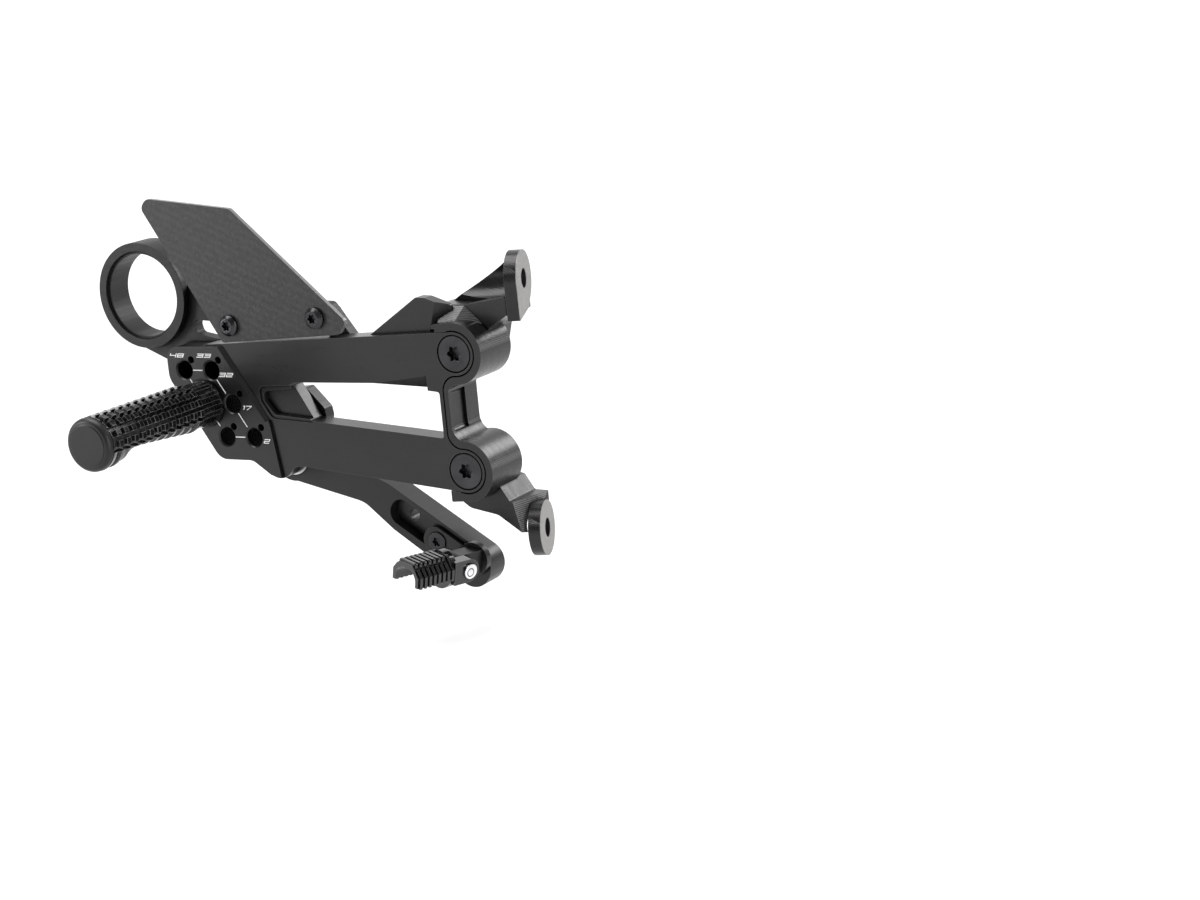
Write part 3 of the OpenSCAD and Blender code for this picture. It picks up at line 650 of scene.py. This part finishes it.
# %% Dress every solid
EDGE_MM = {
    "frame_bracket": 0.5, "hanger_arm": 0.4, "silencer_hanger": 0.5, "brake_pedal": 0.6,
    "heel_guard": 0.3, "toe_slider": 0.3, "toe_peg": 0.22, "peg_body": 0.3, "peg_end_cap": 0.6,
    "arm_bolt_upper": 0.3, "arm_bolt_lower": 0.3, "guard_bolt_rear": 0.25,
    "guard_bolt_front": 0.25,
}
OTHER_EDGE_MM = 0.2
WELD = 2e-6
FLAT = math.radians(0.8)
CREASE = math.radians(33.0)


def dressed(node):
    """A welded copy of a solid with rounded edges, which stands for the solid."""
    mesh = frame["nodes"][node].data.copy()
    mesh.name = node + "_dressed"
    bm = bmesh.new()
    bm.from_mesh(mesh)
    bmesh.ops.remove_doubles(bm, verts=bm.verts, dist=WELD)
    bmesh.ops.dissolve_limit(bm, angle_limit=FLAT, verts=bm.verts, edges=bm.edges)
    for face in bm.faces:
        face.smooth = True
    bm.to_mesh(mesh)
    bm.free()
    piece = bpy.data.objects.new(node + "_dressed", mesh)
    scene.collection.objects.link(piece)
    edge = piece.modifiers.new("rounded_edges", "BEVEL")
    edge.width = EDGE_MM.get(node, OTHER_EDGE_MM) * MM
    edge.segments = 2
    edge.limit_method = "ANGLE"
    edge.angle_limit = CREASE
    edge.use_clamp_overlap = True
    edge.miter_outer = "MITER_ARC"
    shade = piece.modifiers.new("even_shading", "WEIGHTED_NORMAL")
    shade.keep_sharp = True
    mesh.materials.clear()
    mesh.materials.append(finish_of[node])
    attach(piece, BODY_OF[node])
    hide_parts(node)
    return piece


dressed_pieces = {node: dressed(node) for node in finish_of}
print("dressed", len(dressed_pieces), "solids")

# %% [markdown]
# ## White paint
#
# White lines join the six footrest positions, and a number beside most of them gives the
# setting. On the real plate they are fine engravings filled with paint, which is matt and
# not quite even, so a fine noise makes it a little darker here and there.

# %% White paint
def paint(name, tone):
    """Filled engraving: off-white paint with a slightly uneven fill."""
    t = Tree(name)
    fill = t.noise(2600.0, detail=3.0)
    base = t.mix(t.span(fill, 0.35, 0.7), scaled(tone, 0.8), tone)
    return t.finish({"Base Color": base, "Roughness": 0.55, "Normal": t.bump(fill, 0.01 * MM)})


white = paint("engraving_white", (0.85, 0.85, 0.84))
print("paint:", white.name)

# %% [markdown]
# ## Lines between the positions
#
# A filled engraving lies flush, so a line is a skin 0.04 mm thick on the face, sunk a
# little into it. Each one is a thin box that starts and ends short of the holes it joins.
# Two run level, the rest lean with the rows, and all of them are one mesh.

# %% Lines between the positions
SKIN_MM = 0.04
SUNK_MM = 0.02
LINE_MM = 0.42
LEVEL_GAP = np.array([4.9, 0.0])
GAP, RUN = np.array([2.55, -4.1]), np.array([6.6, -10.3])
rear, front = np.array([-HOLE_PITCH, 0.0]), np.array([0.0, 0.0])
LINES = [(rear + row * ROW_STEP + LEVEL_GAP, front + row * ROW_STEP - LEVEL_GAP) for row in (0, 2)]
LINES += [(at + row * ROW_STEP + GAP, at + row * ROW_STEP + RUN)
          for row in (0, 1) for at in (rear, front)]


def mesh_piece(name, points, faces, material, body="rear_set"):
    """A new piece from arrays of points and faces, riding on a body."""
    mesh = bpy.data.meshes.new(name)
    mesh.from_pydata([tuple(p) for p in points], [], [tuple(f) for f in faces])
    mesh.materials.append(material)
    mesh.validate()
    piece = bpy.data.objects.new(name, mesh)
    scene.collection.objects.link(piece)
    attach(piece, body)
    return piece


BOX_FACES = np.array([[0, 1, 3, 2], [4, 6, 7, 5], [0, 4, 5, 1],
                      [2, 3, 7, 6], [0, 2, 6, 4], [1, 5, 7, 3]])


def line_box(start, end, width, skin):
    """Eight corners of a thin box along a line on the plate, as start/end by side by depth."""
    way = (end - start) / np.linalg.norm(end - start)
    side = np.array([-way[1], way[0]]) * width / 2
    return np.array([on_plate(*(p + s * side), y)
                     for p in (start, end) for s in (1, -1) for y in (-skin, SUNK_MM)])


corners = np.concatenate([line_box(a, b, LINE_MM, SKIN_MM) for a, b in LINES])
faces = np.concatenate([BOX_FACES + 8 * i for i in range(len(LINES))])
mesh_piece("position_lines", corners, faces, white)
print("engraved lines:", len(LINES))

# %% [markdown]
# ## Numbers beside the positions
#
# The numerals are plain, wide and slanted, 1.9 mm tall. A font's curves would be lost at
# this size, so each numeral is a small grid of cells, some filled and some not, and its
# strokes stay equally wide however wide the numeral is.

# %% Numerals
NUMBERS = [("48", (-22.6, -14.0), (5.7, 7.5)), ("33", (-7.4, 1.2), (5.8, 7.6)),
           ("32", (3.7, 12.1), (-2.8, -0.9)), ("17", (14.1, 20.1), (-17.5, -15.6)),
           ("2", (24.0, 28.0), (-32.5, -30.5))]
SLANT = 0.5
STROKE = 0.35
UPRIGHT = 1.3 * STROKE
DIGIT_GAP = 0.55
CORNERS_PER_NUMERAL = 24
PATTERNS = {"1": ".## ..# ..# ..# ..#", "2": "### ..# ### #.. ###", "3": "### ..# .## ..# ###",
            "4": "#.# #.# ### ..# ..#", "7": "### ..# ..# ..# ..#", "8": "### #.# ### #.# ###"}
SHARE_OF_WIDTH = {"1": 0.5}
FOOT_BACK = {"7": 0.55}


def numeral(digit, left, wide, low, tall):
    """Corner points and filled cells of one numeral, in millimetres on the plate.

    A numeral is a grid of three columns and five rows, with strokes of a fixed width and
    gaps that take the rest; a cell is filled where the pattern has a mark. FOOT_BACK
    moves the foot of a seven back by a share of its width, so that its leg slopes.
    """
    columns = left + np.cumsum([0.0, UPRIGHT, wide - 2 * UPRIGHT, UPRIGHT])
    gap = (tall - 3 * STROKE) / 2
    heights = low + tall - np.cumsum([0.0, STROKE, gap, STROKE, gap, STROKE])
    x, z = np.meshgrid(columns, heights)
    way_down = np.clip((heights[1] - z) / (heights[1] - low), 0.0, 1.0)
    x = x - FOOT_BACK.get(digit, 0.0) * wide * way_down
    marks = np.array([[c == "#" for c in row] for row in PATTERNS[digit].split()])
    cell_row, cell_column = np.nonzero(marks)
    first = cell_row * 4 + cell_column
    quads = np.column_stack([first, first + 4, first + 5, first + 1])
    return np.column_stack([x.ravel(), z.ravel()]), quads


def number_piece(text, across, height):
    """A plain bold number as a thin mesh that fills a box on the plate.

    across and height are the box's ends in millimetres; the top leans forward by SLANT
    times the height.
    """
    tall = height[1] - height[0]
    lean = SLANT * tall
    widths = np.array([SHARE_OF_WIDTH.get(digit, 1.0) for digit in text])
    room = across[1] - across[0] - lean - DIGIT_GAP * (len(text) - 1)
    widths = widths * room / widths.sum()
    lefts = across[0] + np.cumsum(widths + DIGIT_GAP) - widths - DIGIT_GAP
    parts = [numeral(digit, left, wide, height[0], tall)
             for digit, left, wide in zip(text, lefts, widths)]
    points = np.concatenate([p for p, _ in parts])
    quads = np.concatenate([q + CORNERS_PER_NUMERAL * i for i, (_, q) in enumerate(parts)])
    used, flat_ids = np.unique(quads, return_inverse=True)
    points, quads = points[used], flat_ids.reshape(-1, 4)
    leaned = points[:, 0] + SLANT * (points[:, 1] - height[0])
    placed = np.column_stack([leaned, np.full(len(points), -SKIN_MM), points[:, 1]])
    piece = mesh_piece("number_" + text, PLATE_ORIGIN + placed * MM, quads, white)
    thick = piece.modifiers.new("skin", "SOLIDIFY")
    thick.thickness, thick.offset = (SKIN_MM + SUNK_MM) * MM, -1.0
    return piece


numbers = [number_piece(*row) for row in NUMBERS]
print("numbers:", [n.name for n in numbers])

# %% [markdown]
# ## Studio
#
# A pale floor curves up into a backdrop. It is a flat strip, a quarter circle and a wall,
# carried sideways. It lies 16 mm below the part at rest, because the pedal's end comes
# down by 15 mm when the pedal is pressed, and must not dip into the floor.

# %% Floor and backdrop
FLOOR_DROP = 0.016
floor_z = cad_box[0][2] - FLOOR_DROP
middle = (np.array(cad_box[0]) + np.array(cad_box[1])) / 2
SWEEP_DEPTH, SWEEP_RADIUS, SWEEP_WIDTH, SWEEP_REACH = 2.2, 0.8, 6.0, 2.5


def sweep_profile(depth, radius, reach, steps=24):
    """Distance back and height of the sweep: flat floor, a quarter circle, then a wall."""
    angle = np.linspace(0.0, math.pi / 2, steps)
    back = np.concatenate([[-reach], depth + radius * np.sin(angle), [depth + radius]])
    up = np.concatenate([[0.0], radius * (1 - np.cos(angle)), [radius + reach]])
    return back, up


back, up = sweep_profile(SWEEP_DEPTH, SWEEP_RADIUS, SWEEP_REACH)
sideways, _, towards = camera_axes(AZIMUTH, 0.0, 0.0)
under_object = middle * (1, 1, 0) + (0, 0, floor_z)
edge_line = under_object - np.outer(back, towards) + np.outer(up, UPWARD)
rows = [edge_line + side * sideways for side in (-SWEEP_WIDTH, SWEEP_WIDTH)]
first = np.arange(len(back) - 1)
quads = np.column_stack([first, first + len(back), first + len(back) + 1, first + 1])
sweep_mesh = bpy.data.meshes.new("studio_sweep")
sweep_mesh.from_pydata(np.concatenate(rows).tolist(), [], quads.tolist())
sweep_mesh.polygons.foreach_set("use_smooth", [True] * len(quads))
sweep = bpy.data.objects.new("studio_sweep", sweep_mesh)
scene.collection.objects.link(sweep)
print("floor at", round(floor_z, 4), "m")

# %% [markdown]
# ## The studio's white
#
# Near the object the camera sees the pale surface itself mixed with a white glow, so the
# object's shadow stays; further away the share of glow rises to one, and the floor melts
# into the background as in a catalogue picture. The glow is for camera, glossy and
# transmission rays only, so it throws no light on the object.

# %% Floor and backdrop material
SHADOW_SHARE = 0.5
GLOW = 1.25
NEAR, FAR = 0.35, 0.9
t = Tree("studio_white")
rays = t.nodes.new("ShaderNodeLightPath")
seen = t.math("MAXIMUM", rays.outputs["Is Camera Ray"],
              t.math("MAXIMUM", rays.outputs["Is Glossy Ray"], rays.outputs["Is Transmission Ray"]))
t.finish({"Base Color": (0.86, 0.86, 0.86), "Roughness": 0.9})
glow = t.add("ShaderNodeEmission", {"Color": (1.0, 1.0, 1.0), "Strength": GLOW})
from_object = t.add("ShaderNodeVectorMath", {0: t.place, 1: tuple(middle)},
                    output="Value", operation="DISTANCE")
share = t.math("MULTIPLY", seen, t.span(from_object, NEAR, FAR, 1.0 - SHADOW_SHARE, 1.0))
both = t.add("ShaderNodeMixShader", {0: share, 1: t.shader.outputs[0], 2: glow})
t.links.new(both, t.nodes["Material Output"].inputs[0])
sweep_mesh.materials.append(t.material)
print("shadow kept near the object:", SHADOW_SHARE)

# %% [markdown]
# ## Light
#
# A pale room fills in evenly from all sides. In Blender that is the world: it lights the
# object weakly, and a second, stronger background is what the camera sees, so that the
# picture's ground is white without more light on the object.

# %% World
FILL_STRENGTH, SEEN_STRENGTH = 0.28, 1.0
world = bpy.data.worlds.new("studio_world")
scene.world = world
world.use_nodes = True
nodes, links = world.node_tree.nodes, world.node_tree.links
fill, plain = nodes["Background"], nodes.new("ShaderNodeBackground")
for background, strength in ((fill, FILL_STRENGTH), (plain, SEEN_STRENGTH)):
    background.inputs["Color"].default_value = (1.0, 1.0, 1.0, 1.0)
    background.inputs["Strength"].default_value = strength
path, blend = nodes.new("ShaderNodeLightPath"), nodes.new("ShaderNodeMixShader")
links.new(path.outputs["Is Camera Ray"], blend.inputs[0])
links.new(fill.outputs[0], blend.inputs[1])
links.new(plain.outputs[0], blend.inputs[2])
links.new(blend.outputs[0], nodes["World Output"].inputs[0])
print("world fill:", FILL_STRENGTH)

# %% [markdown]
# ## Soft boxes
#
# Dark metal is lit by what it reflects. A wide soft box above gives the top faces their
# sheen, one on the left draws the long edges, a low strip on the right lifts the frame
# pads, and a fill behind lights the inboard side and skims over the footrest's teeth.

# %% Soft boxes
SOFT_BOXES = [
    ("top_box", (-0.25, -0.05, 0.95), 0.8, 0.8, 12.0),
    ("left_box", (-1.0, -0.75, 0.35), 0.4, 0.9, 11.0),
    ("right_strip", (0.9, -0.35, 0.1), 0.25, 0.9, 6.0),
    ("back_fill", (0.45, 0.75, 0.5), 0.5, 0.5, 6.0),
]


def soft_box(name, place, wide, tall, watts):
    """A rectangular lamp at a place, turned to the middle of the object."""
    lamp = bpy.data.lights.new(name, "AREA")
    lamp.shape, lamp.size, lamp.size_y, lamp.energy = "RECTANGLE", wide, tall, watts
    box = bpy.data.objects.new(name, lamp)
    box.location = Vector(middle.tolist()) + Vector(place)
    box.rotation_euler = Vector(place).to_track_quat("Z", "Y").to_euler()
    scene.collection.objects.link(box)


for row in SOFT_BOXES:
    soft_box(*row)
print("lamps:", [row[0] for row in SOFT_BOXES])

# %% [markdown]
# ## Last settings
#
# The Standard view shows a colour as it is written.

scene.view_settings.view_transform = "Standard"
